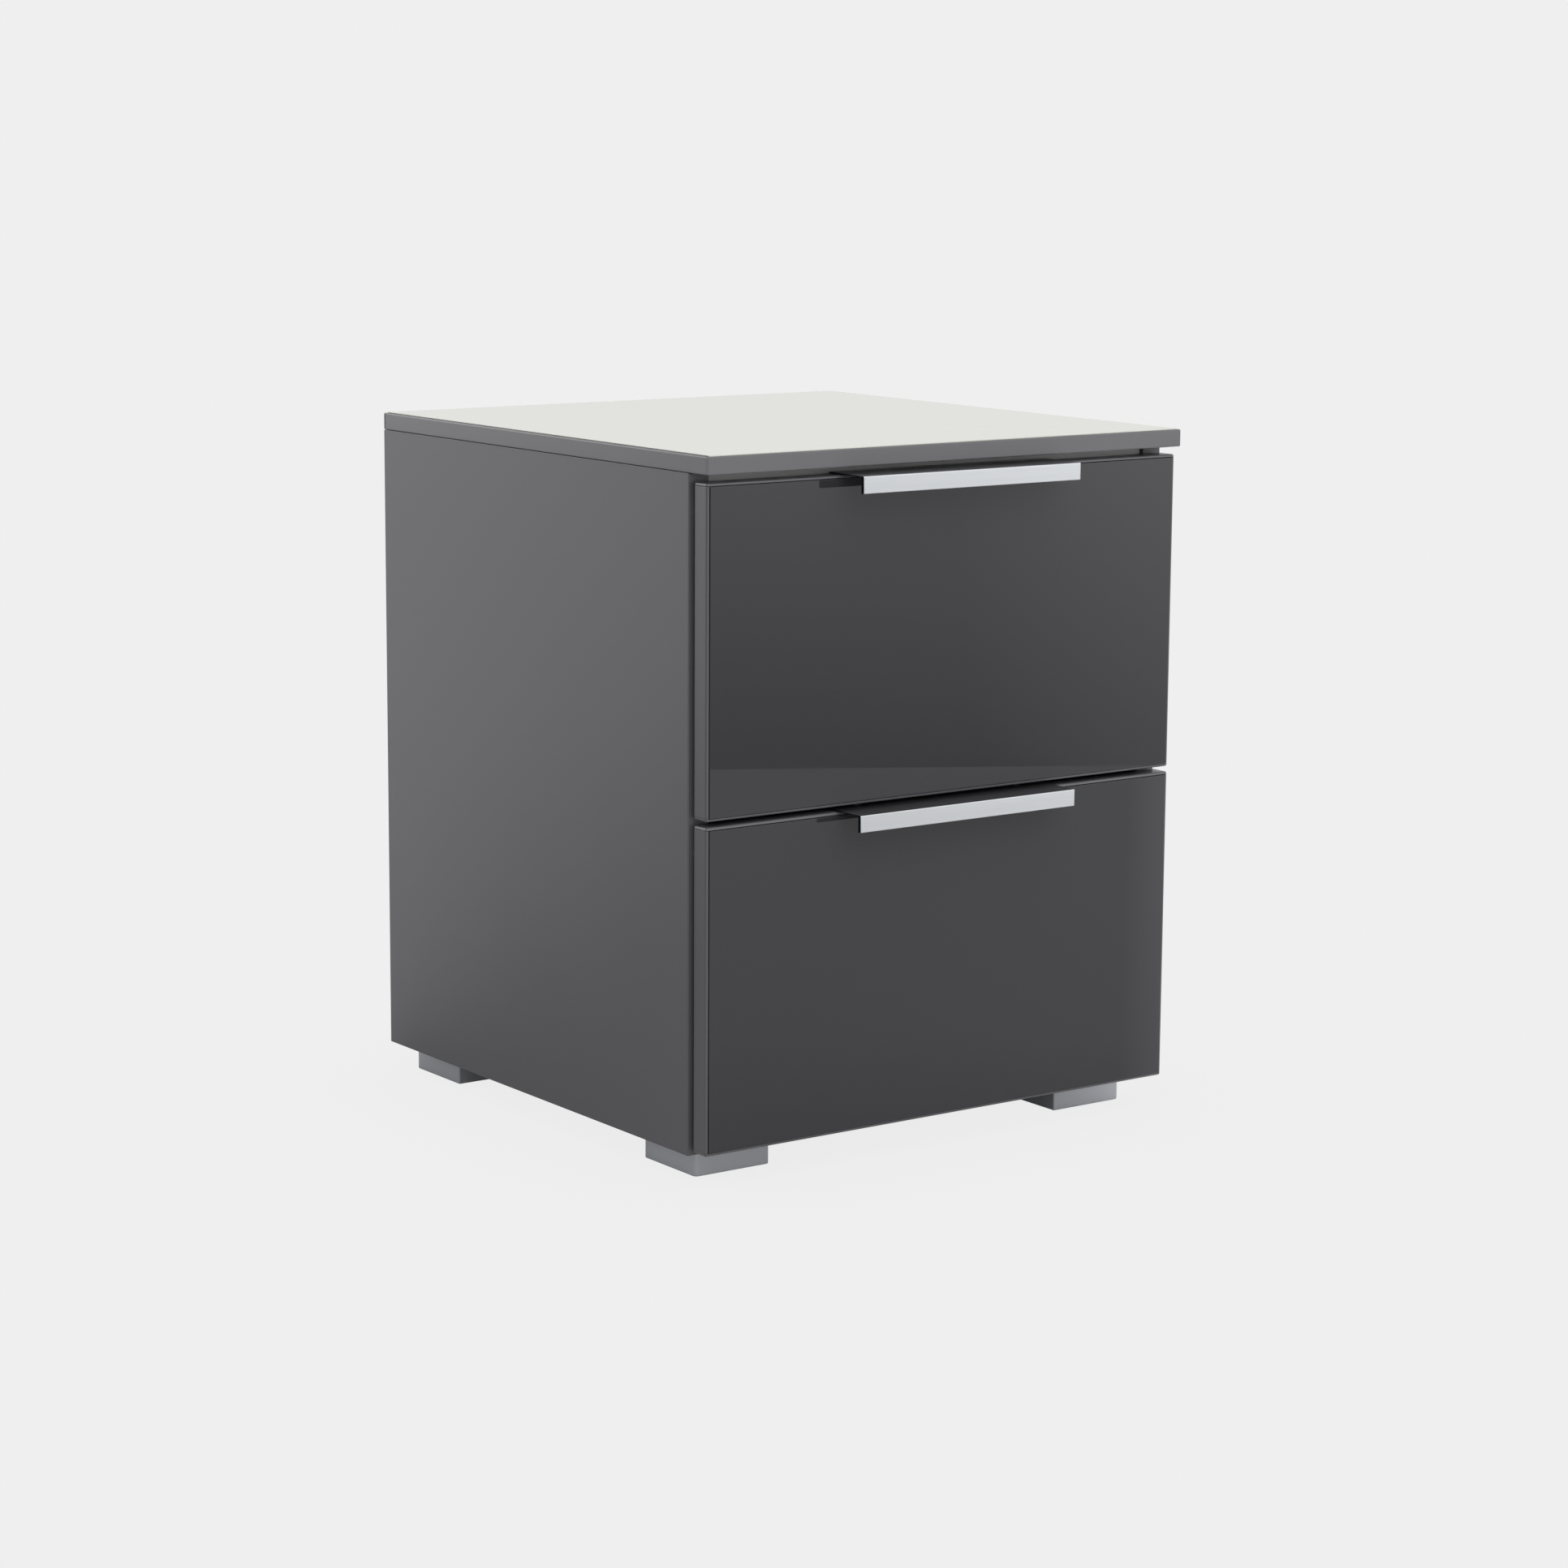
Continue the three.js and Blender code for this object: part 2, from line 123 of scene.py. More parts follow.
def editParts(piece, kind, wanted):
    pickOnly(piece)
    bpy.ops.object.mode_set(mode="EDIT")
    bpy.ops.mesh.select_mode(type=kind)
    bpy.ops.mesh.select_all(action="DESELECT")
    mesh = bmesh.from_edit_mesh(piece.data)
    for part in mesh.edges if kind == "EDGE" else mesh.faces:
        part.select_set(bool(wanted(part)))
    bmesh.update_edit_mesh(piece.data)


def editEdges(piece, wanted):
    editParts(piece, "EDGE", wanted)


def editFaces(piece, wanted):
    editParts(piece, "FACE", wanted)


def leaveEdit():
    bpy.ops.object.mode_set(mode="OBJECT")


def middle(edge):
    return (edge.verts[0].co + edge.verts[1].co) / 2


def isSharp(edge, degrees=40):
    return len(edge.link_faces) == 2 and edge.calc_face_angle(0) > math.radians(degrees)


def along(edge, axis):
    run = (edge.verts[1].co - edge.verts[0].co).normalized()
    return abs(run.dot(axis)) > parallel


# A line of points joined by edges, all picked in edit mode, ready to be extruded or spun.
def addOutline(name, places, closed=False):
    deselectAll()
    bpy.ops.mesh.primitive_plane_add(size=1)
    outline = bpy.context.object
    outline.name = outline.data.name = name
    mesh = bmesh.new()
    points = [mesh.verts.new(place) for place in places]
    followers = points[1:] + points[:1] if closed else points[1:]
    for first, second in zip(points, followers):
        mesh.edges.new((first, second))
    mesh.to_mesh(outline.data)
    mesh.free()
    editEdges(outline, lambda edge: True)
    return outline


def roundEdges(piece, wanted, radius, segments=3):
    editEdges(piece, lambda edge: isSharp(edge) and wanted(edge))
    bpy.ops.mesh.bevel(offset=radius, segments=segments, affect="EDGES", clamp_overlap=True)
    leaveEdit()
    return piece


def roundAll(piece, radius, segments=2):
    return roundEdges(piece, lambda edge: True, radius, segments)


def cutWith(piece, cutters):
    for cutter in cutters:
        pickOnly(piece)
        cut = piece.modifiers.new("cut", "BOOLEAN")
        cut.operation = "DIFFERENCE"
        cut.solver = "EXACT"
        cut.object = cutter
        bpy.ops.object.modifier_apply(modifier=cut.name)
        bpy.data.objects.remove(cutter, do_unlink=True)
    return piece


def joinPieces(name, pieces):
    pickOnly(pieces[0])
    for piece in pieces[1:]:
        piece.select_set(True)
    bpy.ops.object.join()
    joined = bpy.context.object
    joined.name = joined.data.name = name
    return joined


# A copy moved by the offset, and turned upright about the centre.
def copyPiece(piece, name, offset, degrees=0, centre=Vector()):
    pickOnly(piece)
    bpy.ops.object.duplicate(linked=False)
    twin = bpy.context.object
    twin.name = twin.data.name = name
    turn = Matrix.Rotation(math.radians(degrees), 3, "Z")
    twin.rotation_euler = turn.to_euler()
    twin.location = offset + centre - turn @ centre
    return settle(twin)


def smoothen(piece, degrees=50):
    pickOnly(piece)
    bpy.ops.object.shade_smooth_by_angle(angle=math.radians(degrees))
    even = piece.modifiers.new("evenNormals", "WEIGHTED_NORMAL")
    even.keep_sharp = True
    even.weight = 100  # the largest faces decide
    bpy.ops.object.modifier_apply(modifier=even.name)
    return piece


def midPoint(node):
    low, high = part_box(node)
    return (low + high) / 2


# A node's name in the style of this file: lower_left_bumper becomes lowerLeftBumper.
def pieceName(node):
    first, *rest = node.split("_")
    return first + "".join(word.capitalize() for word in rest)


# node groups and materials
def newGroup(name, inputs, outputs):
    group = bpy.data.node_groups.new(name, "ShaderNodeTree")
    for label, kind, value in inputs:
        socket = group.interface.new_socket(label, in_out="INPUT", socket_type=kind)
        socket.default_value = value
    for label, kind in outputs:
        group.interface.new_socket(label, in_out="OUTPUT", socket_type=kind)
    return group, group.nodes.new("NodeGroupInput"), group.nodes.new("NodeGroupOutput")


def addNode(tree, kind, **settings):
    node = tree.nodes.new(kind)
    for key, value in settings.items():
        if key in node.inputs:
            node.inputs[key].default_value = value
        else:
            setattr(node, key, value)
    return node


# A Mix node has sockets 0, 6 and 7 for colours, and 0, 2 and 3 for numbers.
def mixColour(tree, factor, first, second):
    mix = addNode(tree, "ShaderNodeMix", data_type="RGBA")
    tree.links.new(factor, mix.inputs[0])
    tree.links.new(first, mix.inputs[6])
    tree.links.new(second, mix.inputs[7])
    return mix.outputs[2]


def mixNumber(tree, factor, first, second):
    mix = addNode(tree, "ShaderNodeMix", data_type="FLOAT")
    tree.links.new(factor, mix.inputs[0])
    tree.links.new(first, mix.inputs[2])
    tree.links.new(second, mix.inputs[3])
    return mix.outputs[0]


def ramp(tree, value, begin, full, low=0.0, high=1.0, kind="LINEAR"):
    node = addNode(tree, "ShaderNodeMapRange", interpolation_type=kind)
    limits = {"From Min": begin, "From Max": full, "To Min": low, "To Max": high}
    for socket, number in limits.items():
        node.inputs[socket].default_value = number
    tree.links.new(value, node.inputs["Value"])
    return node.outputs[0]


def combine(tree, operation, *values):
    node = addNode(tree, "ShaderNodeMath", operation=operation)
    for value, socket in zip(values, node.inputs):
        tree.links.new(value, socket)
    return node.outputs[0]


def plainColour(tree, colour):
    node = addNode(tree, "ShaderNodeRGB")
    node.outputs[0].default_value = colour
    return node.outputs[0]


# How far a place lies towards a direction.
def distanceAlong(tree, place, direction):
    node = addNode(tree, "ShaderNodeVectorMath", operation="DOT_PRODUCT")
    tree.links.new(place, node.inputs[0])
    node.inputs[1].default_value = direction
    return node.outputs["Value"]


groupOutputs = [
    ("Colour", "NodeSocketColor"),
    ("Roughness", "NodeSocketFloat"),
    ("Height", "NodeSocketFloat"),
]


def grainGroup():
    group, given, result = newGroup(
        "fineGrain",
        [
            ("Light Colour", "NodeSocketColor", (0.13, 0.13, 0.13, 1)),
            ("Dark Colour", "NodeSocketColor", (0.11, 0.11, 0.11, 1)),
            ("Grain Size", "NodeSocketFloat", 700.0),
            ("Smooth", "NodeSocketFloat", 0.35),
            ("Rough", "NodeSocketFloat", 0.45),
            ("Cloud Share", "NodeSocketFloat", 0.5),
        ],
        groupOutputs,
    )
    place = addNode(group, "ShaderNodeTexCoord")
    grain = addNode(group, "ShaderNodeTexNoise", Detail=3.0, Roughness=0.6)
    cloud = addNode(group, "ShaderNodeTexNoise", Scale=7.0, Detail=2.0)
    link = group.links.new
    link(place.outputs["Object"], grain.inputs["Vector"])
    link(place.outputs["Object"], cloud.inputs["Vector"])
    link(given.outputs["Grain Size"], grain.inputs["Scale"])
    share = mixNumber(group, given.outputs["Cloud Share"], grain.outputs[0], cloud.outputs[0])
    colour = mixColour(group, share, given.outputs["Dark Colour"], given.outputs["Light Colour"])
    link(colour, result.inputs["Colour"])
    rough = mixNumber(group, share, given.outputs["Smooth"], given.outputs["Rough"])
    link(rough, result.inputs["Roughness"])
    link(grain.outputs[0], result.inputs["Height"])
    return group


def brushGroup():
    group, given, result = newGroup(
        "brushedLines",
        [
            ("Stretch", "NodeSocketVector", (6.0, 900.0, 900.0)),
            ("Light Colour", "NodeSocketColor", (0.8, 0.8, 0.8, 1)),
            ("Dark Colour", "NodeSocketColor", (0.7, 0.7, 0.7, 1)),
            ("Smooth", "NodeSocketFloat", 0.22),
            ("Rough", "NodeSocketFloat", 0.36),
        ],
        groupOutputs,
    )
    place = addNode(group, "ShaderNodeTexCoord")
    stretch = addNode(group, "ShaderNodeMapping")
    lines = addNode(group, "ShaderNodeTexNoise", Scale=1.0, Detail=4.0, Roughness=0.65)
    link = group.links.new
    link(place.outputs["Object"], stretch.inputs["Vector"])
    link(given.outputs["Stretch"], stretch.inputs["Scale"])
    link(stretch.outputs[0], lines.inputs["Vector"])
    share = lines.outputs[0]
    colour = mixColour(group, share, given.outputs["Dark Colour"], given.outputs["Light Colour"])
    link(colour, result.inputs["Colour"])
    rough = mixNumber(group, share, given.outputs["Smooth"], given.outputs["Rough"])
    link(rough, result.inputs["Roughness"])
    link(share, result.inputs["Height"])
    return group


wipeRun = (0.5, 0.75)  # noise where a wipe mark begins and is full


def smudgeGroup():
    group, given, result = newGroup(
        "wipeMarks",
        [
            ("Clean", "NodeSocketFloat", 0.03),
            ("Smudged", "NodeSocketFloat", 0.09),
            ("Light Colour", "NodeSocketColor", (0.03, 0.03, 0.03, 1)),
            ("Dark Colour", "NodeSocketColor", (0.02, 0.02, 0.02, 1)),
        ],
        groupOutputs,
    )
    place = addNode(group, "ShaderNodeTexCoord")
    wipe = addNode(group, "ShaderNodeTexNoise", Scale=9.0, Detail=5.0, Distortion=1.2)
    wave = addNode(group, "ShaderNodeTexNoise", Scale=3.5, Detail=0.0)
    link = group.links.new
    link(place.outputs["Object"], wipe.inputs["Vector"])
    link(place.outputs["Object"], wave.inputs["Vector"])
    marks = ramp(group, wipe.outputs[0], *wipeRun, kind="SMOOTHSTEP")
    rough = mixNumber(group, marks, given.outputs["Clean"], given.outputs["Smudged"])
    link(rough, result.inputs["Roughness"])
    share = wave.outputs[0]
    colour = mixColour(group, share, given.outputs["Dark Colour"], given.outputs["Light Colour"])
    link(colour, result.inputs["Colour"])
    link(share, result.inputs["Height"])
    return group


def newMaterial(name, group, groupValues, shaderValues, bump=None):
    material = bpy.data.materials.new(name)
    material.use_nodes = True
    tree = material.node_tree
    shader = tree.nodes["Principled BSDF"]
    for socket, value in shaderValues.items():
        shader.inputs[socket].default_value = value
    effect = tree.nodes.new("ShaderNodeGroup")
    effect.node_tree = group
    for socket, value in groupValues.items():
        effect.inputs[socket].default_value = value
    tree.links.new(effect.outputs["Colour"], shader.inputs["Base Color"])
    tree.links.new(effect.outputs["Roughness"], shader.inputs["Roughness"])
    if bump:
        relief = addNode(tree, "ShaderNodeBump")
        relief.inputs["Strength"].default_value = bump["strength"]
        relief.inputs["Distance"].default_value = bump["depth"]
        tree.links.new(effect.outputs["Height"], relief.inputs["Height"])
        tree.links.new(relief.outputs[0], shader.inputs["Normal"])
    return material


def tone(red, green, blue):
    return (red, green, blue, 1.0)


# Paints a colour onto faces by how squarely they look along an axis, from begin to full: used for
# painted shade.
def paintShadeOnFaces(material, axis, begin, full, colour):
    tree = material.node_tree
    base = tree.nodes["Principled BSDF"].inputs["Base Color"]
    old = base.links[0].from_socket
    place = addNode(tree, "ShaderNodeTexCoord")
    parts = addNode(tree, "ShaderNodeSeparateXYZ")
    tree.links.new(place.outputs["Normal"], parts.inputs[0])
    share = ramp(tree, combine(tree, "ABSOLUTE", parts.outputs[axis]), begin, full)
    tree.links.new(mixColour(tree, share, old, plainColour(tree, colour)), base)


# Smooth plastic edging, glued round a board.
def bandMaterial(name, light, dark):
    grain = {
        "Light Colour": light,
        "Dark Colour": dark,
        "Grain Size": 1200.0,
        "Smooth": 0.28,
        "Rough": 0.36,
    }
    return newMaterial(name, fineGrain, grain, {"IOR": 1.5}, {"strength": 0.03, "depth": 0.0001})


fineGrain, brushedLines, wipeMarks = grainGroup(), brushGroup(), smudgeGroup()

graphiteMelamine = newMaterial(
    "graphiteMelamine",
    fineGrain,
    {
        "Light Colour": tone(0.0868, 0.0835, 0.0912),
        "Dark Colour": tone(0.0738, 0.0710, 0.0782),
        "Grain Size": 900.0,
        "Smooth": 0.34,
        "Rough": 0.42,
    },
    {"IOR": 1.5},
    {"strength": 0.05, "depth": 0.0002},
)
# The top's edging has a lighter colour than the fronts' edging.
topBand = bandMaterial(
    "topBand", light=tone(0.1165, 0.1137, 0.1221), dark=tone(0.1050, 0.1024, 0.1102)
)
frontBand = bandMaterial(
    "frontBand", light=tone(0.0875, 0.0853, 0.0910), dark=tone(0.0788, 0.0767, 0.0824)
)
greyGlass = newMaterial(
    "greyLacqueredGlass",
    wipeMarks,
    {
        "Clean": 0.01,
        "Smudged": 0.035,
        "Light Colour": tone(0.0280, 0.0280, 0.0325),
        "Dark Colour": tone(0.0248, 0.0248, 0.0288),
    },
    {"IOR": 1.52},
    {"strength": 0.02, "depth": 0.002},
)
paleGlass = newMaterial(
    "paleLacqueredGlass",
    wipeMarks,
    {
        "Clean": 0.03,
        "Smudged": 0.08,
        "Light Colour": tone(0.610, 0.612, 0.550),
        "Dark Colour": tone(0.580, 0.582, 0.523),
    },
    {"IOR": 1.52},
    {"strength": 0.02, "depth": 0.002},
)
anodised = newMaterial(
    "anodisedAluminium",
    brushedLines,
    {
        "Stretch": (5.0, 1100.0, 1100.0),
        "Light Colour": tone(0.636, 0.652, 0.670),
        "Dark Colour": tone(0.546, 0.562, 0.580),
        "Smooth": 0.24,
        "Rough": 0.36,
    },
    {"Metallic": 1.0},
    {"strength": 0.08, "depth": 0.00005},
)
paintShadeOnFaces(anodised, "X", 0.8, 0.95, tone(0.035, 0.035, 0.038))  # painted shade on the bar's cut ends
paintShadeOnFaces(anodised, "Z", 0.8, 0.95, tone(0.270, 0.275, 0.290))  # painted shade on faces looking up or down, the flange most: stands in for the dark underside it mirrors
paintShadeOnFaces(greyGlass, "Y", 0.55, 0.25, tone(0.006, 0.007, 0.007))  # painted shade on all four edges, for the shadow in the joint round the glass
paintShadeOnFaces(paleGlass, "X", 0.60, 0.90, tone(0.110, 0.125, 0.095))  # green of the glass's edges, darkened as painted shade in the joint, left and right only
silverPlastic = newMaterial(
    "silverPlastic",
    fineGrain,
    {
        "Light Colour": tone(0.490, 0.500, 0.535),
        "Dark Colour": tone(0.430, 0.440, 0.470),
        "Grain Size": 2200.0,
        "Smooth": 0.30,
        "Rough": 0.42,
    },
    {"Metallic": 0.35},
    {"strength": 0.03, "depth": 0.0001},
)
greyFoil = newMaterial(
    "greyFoil",
    fineGrain,
    {
        "Light Colour": tone(0.57, 0.565, 0.56),
        "Dark Colour": tone(0.52, 0.515, 0.51),
        "Grain Size": 500.0,
        "Smooth": 0.48,
        "Rough": 0.60,
    },
    {},
    {"strength": 0.08, "depth": 0.0002},
)
hardboard = newMaterial(
    "lacqueredHardboard",
    fineGrain,
    {
        "Light Colour": tone(0.20, 0.20, 0.205),
        "Dark Colour": tone(0.17, 0.17, 0.175),
        "Grain Size": 350.0,
        "Smooth": 0.5,
        "Rough": 0.7,
    },
    {},
    {"strength": 0.15, "depth": 0.0003},
)
whiteSteel = newMaterial(
    "powderCoatedSteel",
    fineGrain,
    {
        "Light Colour": tone(0.74, 0.74, 0.72),
        "Dark Colour": tone(0.66, 0.66, 0.64),
        "Grain Size": 1500.0,
        "Smooth": 0.34,
        "Rough": 0.5,
    },
    {},
    {"strength": 0.12, "depth": 0.0001},
)
nylon = newMaterial(
    "whiteNylon",
    fineGrain,
    {
        "Light Colour": tone(0.82, 0.82, 0.79),
        "Dark Colour": tone(0.74, 0.74, 0.71),
        "Grain Size": 600.0,
        "Smooth": 0.36,
        "Rough": 0.5,
    },
    {"Subsurface Weight": 0.05, "Subsurface Radius": (0.001, 0.001, 0.001)},
)
zinc = newMaterial(
    "zincPlated",
    brushedLines,
    {
        "Stretch": (300.0, 300.0, 40.0),
        "Light Colour": tone(0.62, 0.63, 0.65),
        "Dark Colour": tone(0.46, 0.47, 0.49),
        "Smooth": 0.25,
        "Rough": 0.5,
    },
    {"Metallic": 1.0},
    {"strength": 0.05, "depth": 0.00005},
)
softPad = newMaterial(
    "clearSoftPad",
    fineGrain,
    {
        "Light Colour": tone(0.55, 0.56, 0.57),
        "Dark Colour": tone(0.48, 0.49, 0.50),
        "Grain Size": 400.0,
        "Smooth": 0.3,
        "Rough": 0.45,
    },
    {"Coat Weight": 0.3},
)
print("materials made")


def handOver(piece, body, material, nodes=()):
    smoothen(piece)
    piece.data.materials.clear()
    piece.data.materials.append(material)
    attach(piece, body)
    if nodes:
        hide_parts(*nodes)
    return piece


# boards and edging
board = {"edge": 0.25 * mm, "thinEdge": 0.3 * mm, "band": 0.8 * mm, "bandEdge": 0.6 * mm}
ring = {
    "topEdge": 1.0 * mm,  # round the outside of the top
    "frontEdge": 1.6 * mm,  # round the outside of the drawer fronts
    "innerEdge": 0.2 * mm,
    "butt": 0.15 * mm,  # open joint between two strips
}
glass = {"arris": 0.35 * mm}
pocket = {"grooveRun": 10 * mm, "overcut": 1 * mm}


def plainBoard(node, radius=board["edge"]):
    low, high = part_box(node)
    return roundAll(addBlock(pieceName(node), low, high), radius)


# A board with a thin strip of edging glued on its front edge.
def bandedBoard(node, cutters=()):
    low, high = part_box(node)
    seam = low.y + board["band"]
    core = addBlock("core", (low.x, seam, low.z), high)
    cutWith(core, cutters)
    roundEdges(core, lambda edge: True, board["edge"], segments=2)
    strip = addBlock("strip", low, (high.x, seam, high.z))
    roundEdges(strip, lambda edge: middle(edge).y < seam - onPlane, board["bandEdge"], segments=4)
    return joinPieces(pieceName(node), [core, strip])


# Four strips of edging round a box that lies flat on the axes u and v. The strips along u cover
# the ends of the others. Edges along the sharp axes stay sharp on the outside.
def edgingRing(node, u, v, thickness, outerRadius, sharp=()):
    low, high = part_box(node)

    def onOutside(edge):
        centre = middle(edge)
        if any(along(edge, axis) for axis in sharp):
            return False
        gaps = [min(abs(centre[i] - low[i]), abs(centre[i] - high[i])) for i in range(3)]
        return sum(gap < onCorner for gap in gaps) > 1

    def addStrip(across, atEnd, trim):
        start, stop = low.copy(), high.copy()
        start[v] += trim
        stop[v] -= trim
        if atEnd:
            start[across] = high[across] - thickness
        else:
            stop[across] = low[across] + thickness
        return addBlock("strip", start, stop)

    strips = []
    for atEnd in (False, True):
        strips.append(addStrip(v, atEnd, 0))
        strips.append(addStrip(u, atEnd, thickness + ring["butt"]))
    for strip in strips:
        roundEdges(strip, onOutside, outerRadius, segments=5)
        editEdges(strip, lambda edge: isSharp(edge, degrees=70))
        bpy.ops.mesh.bevel(offset=ring["innerEdge"], segments=1, affect="EDGES", clamp_overlap=True)
        leaveEdit()
    return joinPieces(pieceName(node), strips)


def glassSheet(node):
    low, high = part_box(node)
    return roundAll(addBlock(pieceName(node), low, high), glass["arris"], segments=3)


def edgingThickness(core, edging):
    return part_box(core)[0].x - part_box(edging)[0].x - fitGap


def makeTop():
    thickness = edgingThickness("top_board", "top_edging")
    edging = edgingRing("top_edging", inX, inY, thickness, ring["topEdge"], [axisZ])
    handOver(edging, "cabinet", topBand, ["top_edging"])
    handOver(plainBoard("top_board"), "cabinet", graphiteMelamine, ["top_board"])
    handOver(glassSheet("top_glass"), "cabinet", paleGlass, ["top_glass"])


# What is taken out of a side panel: the groove for the back panel and the pockets for its cams.
def sideCutters(side):
    low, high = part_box("back_panel")
    panelLow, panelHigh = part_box(side + "_side_panel")
    slack = Vector((fitGap, fitGap, pocket["grooveRun"]))
    cutters = [addBlock("groove", low - slack, high + slack)]
    for end in ("front", "rear"):
        camLow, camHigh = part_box(f"{side}_{end}_cam")
        centre = (camLow + camHigh) / 2
        radius = (camHigh.z - camLow.z) / 2 + fitGap
        reach = camHigh.x - camLow.x + fitGap
        inner = panelHigh.x if side == "left" else panelLow.x
        start = Vector((inner - sides[side] * pocket["overcut"], centre.y, centre.z))
        stop = Vector((inner + sides[side] * reach, centre.y, centre.z))
        cutters.append(addRound("camPocket", start, stop, radius))
    return cutters


def makeCarcass():
    for side in sides:
        node = side + "_side_panel"
        panel = bandedBoard(node, sideCutters(side))
        handOver(panel, "cabinet", graphiteMelamine, [node])
    bottom = bandedBoard("bottom_panel")
    handOver(bottom, "cabinet", graphiteMelamine, ["bottom_panel"])
    handOver(bandedBoard("front_rail"), "cabinet", greyFoil, ["front_rail"])
    back = plainBoard("back_panel", board["thinEdge"])
    handOver(back, "cabinet", hardboard, ["back_panel"])


makeTop()
makeCarcass()
print("top and carcass made")

# feet
foot = {
    "outerCorner": 3.5 * mm,
    "corner": 1.2 * mm,
    "rim": 1.0 * mm,
    "topRim": 0.6 * mm,
    "bore": 6 * mm,  # radius of the hole for the screw
    "boreDepth": 9 * mm,
    "boreRim": 0.5 * mm,
    "screwHead": 3 * mm,  # height
    "screwShank": 2 * mm,  # radius
}
screw = {"slotWidth": 0.9 * mm, "slotShare": 0.62, "slotDepth": 1.3 * mm, "rim": 0.5 * mm}


# A cross recess for a screwdriver: two blades at a head's face, that look along axis.
def crossCutters(centre, axis, span, width, depth):
    outA = axisZ if abs(axis.z) < 0.5 else axisX
    outB = axis.cross(outA)
    blades = []
    for long, short in ((outA, outB), (outB, outA)):
        half = Vector([abs(c) for c in long * span / 2 + short * width / 2 + axis * depth])
        blades.append(addBlock("blade", centre - half, centre + half))
    return blades


def screwPiece(name, face, axis, headRadius, headHeight, shankRadius, length):
    neck = face - axis * headHeight
    head = addRound("head", neck, face, headRadius, vertices=40)
    roundEdges(head, lambda edge: abs((middle(edge) - face).dot(axis)) < onCorner, screw["rim"])
    span = headRadius * 2 * screw["slotShare"]
    cutWith(head, crossCutters(face, axis, span, screw["slotWidth"], screw["slotDepth"]))
    shank = addRound("shank", face - axis * length, neck, shankRadius, vertices=24)
    return joinPieces(name, [head, shank])


def makeFeet():
    low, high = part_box("front_left_foot")
    block = addBlock("frontLeftFoot", low, high)
    centre = (low + high) / 2

    def isOuter(edge):
        return along(edge, axisZ) and middle(edge).x < centre.x and middle(edge).y < centre.y

    def isInner(edge):
        return along(edge, axisZ) and not isOuter(edge)

    def isUnder(edge):
        return middle(edge).z < low.z + onPlane

    roundEdges(block, isOuter, foot["outerCorner"], segments=8)
    roundEdges(block, isInner, foot["corner"], segments=4)
    roundEdges(block, isUnder, foot["rim"], segments=4)
    roundEdges(block, lambda edge: middle(edge).z > high.z - onPlane, foot["topRim"], segments=2)
    floorPoint = Vector((centre.x, centre.y, low.z))
    boreTop = floorPoint + axisZ * foot["boreDepth"]
    cutWith(block, [addRound("bore", floorPoint - axisZ * mm, boreTop, foot["bore"])])
    roundEdges(block, isUnder, foot["boreRim"], segments=2)

    screwLow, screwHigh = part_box("front_left_foot_screw")
    headRadius = (screwHigh.x - screwLow.x) / 2
    face = Vector((centre.x, centre.y, screwLow.z))
    length = screwHigh.z - screwLow.z
    head, shank = foot["screwHead"], foot["screwShank"]
    footScrew = screwPiece("frontLeftFootScrew", face, -axisZ, headRadius, head, shank, length)
    copies = {"front_left": (block, footScrew)}
    turns = {"front_right": 90, "rear_left": -90, "rear_right": 180}  # degrees
    for place, turn in turns.items():
        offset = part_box(place + "_foot")[0] - low
        copies[place] = (
            copyPiece(block, pieceName(place + "_foot"), offset, turn, centre),
            copyPiece(footScrew, pieceName(place + "_foot_screw"), offset),
        )
    for place, (blockCopy, screwCopy) in copies.items():
        handOver(blockCopy, "cabinet", silverPlastic, [place + "_foot"])
        handOver(screwCopy, "cabinet", zinc, [place + "_foot_screw"])


makeFeet()
print("feet made")

# cam fittings in the side panels
cam = {"rim": 0.4 * mm, "slotWidth": 2 * mm, "slotDepth": 3 * mm, "span": 8 * mm}


def makeCams():
    for side, sign in sides.items():
        for end in ("front", "rear"):
            node = f"{side}_{end}_cam"
            low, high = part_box(node)
            centre = (low + high) / 2
            inner = high.x if side == "left" else low.x
            inward = axisX * -sign
            face = Vector((inner, centre.y, centre.z))
            rear = face - inward * (high.x - low.x)
            body = addRound(pieceName(node), rear, face, (high.z - low.z) / 2)
            roundAll(body, cam["rim"], segments=3)
            cutters = crossCutters(face, inward, cam["span"], cam["slotWidth"], cam["slotDepth"])
            cutWith(body, cutters)
            handOver(body, "cabinet", zinc, [node])


makeCams()
print("cams made")

# drawer fronts
handle = {
    "edge": 0.5 * mm,
    "flangeEdge": 0.25 * mm,
    "fillet": 1.0 * mm,
    "flange": 1.2 * mm,  # thickness
    "wall": 3 * mm,
}
countersunk = {
    "head": 3 * mm,  # radius
    "shank": 1.5 * mm,  # radius
    "length": 16 * mm,
    "slotWidth": 0.7 * mm,
    "slotDepth": 1.2 * mm,
}
bumper = {"rim": 1.2 * mm}
drawerParts = []  # (piece, node of the lower drawer, slot, material)


def makeFront():
    thickness = edgingThickness("lower_front_board", "lower_front_edging")
    edging = edgingRing("lower_front_edging", inX, inZ, thickness, ring["frontEdge"])
    drawerParts.append((edging, "lower_front_edging", "edging", frontBand))
    sheet = glassSheet("lower_front_glass")
    drawerParts.append((sheet, "lower_front_glass", "grey_glass", greyGlass))

    low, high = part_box("lower_front_board")
    core = addBlock("lowerFrontBoard", low, high)
    bottomLow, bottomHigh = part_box("lower_drawer_bottom")
    groove = addBlock(
        "groove",
        (low.x - mm, bottomLow.y - fitGap, bottomLow.z - fitGap),
        (high.x + mm, high.y + mm, bottomHigh.z + fitGap),
    )
    roundAll(cutWith(core, [groove]), board["edge"])
    drawerParts.append((core, "lower_front_board", "graphite_board", graphiteMelamine))


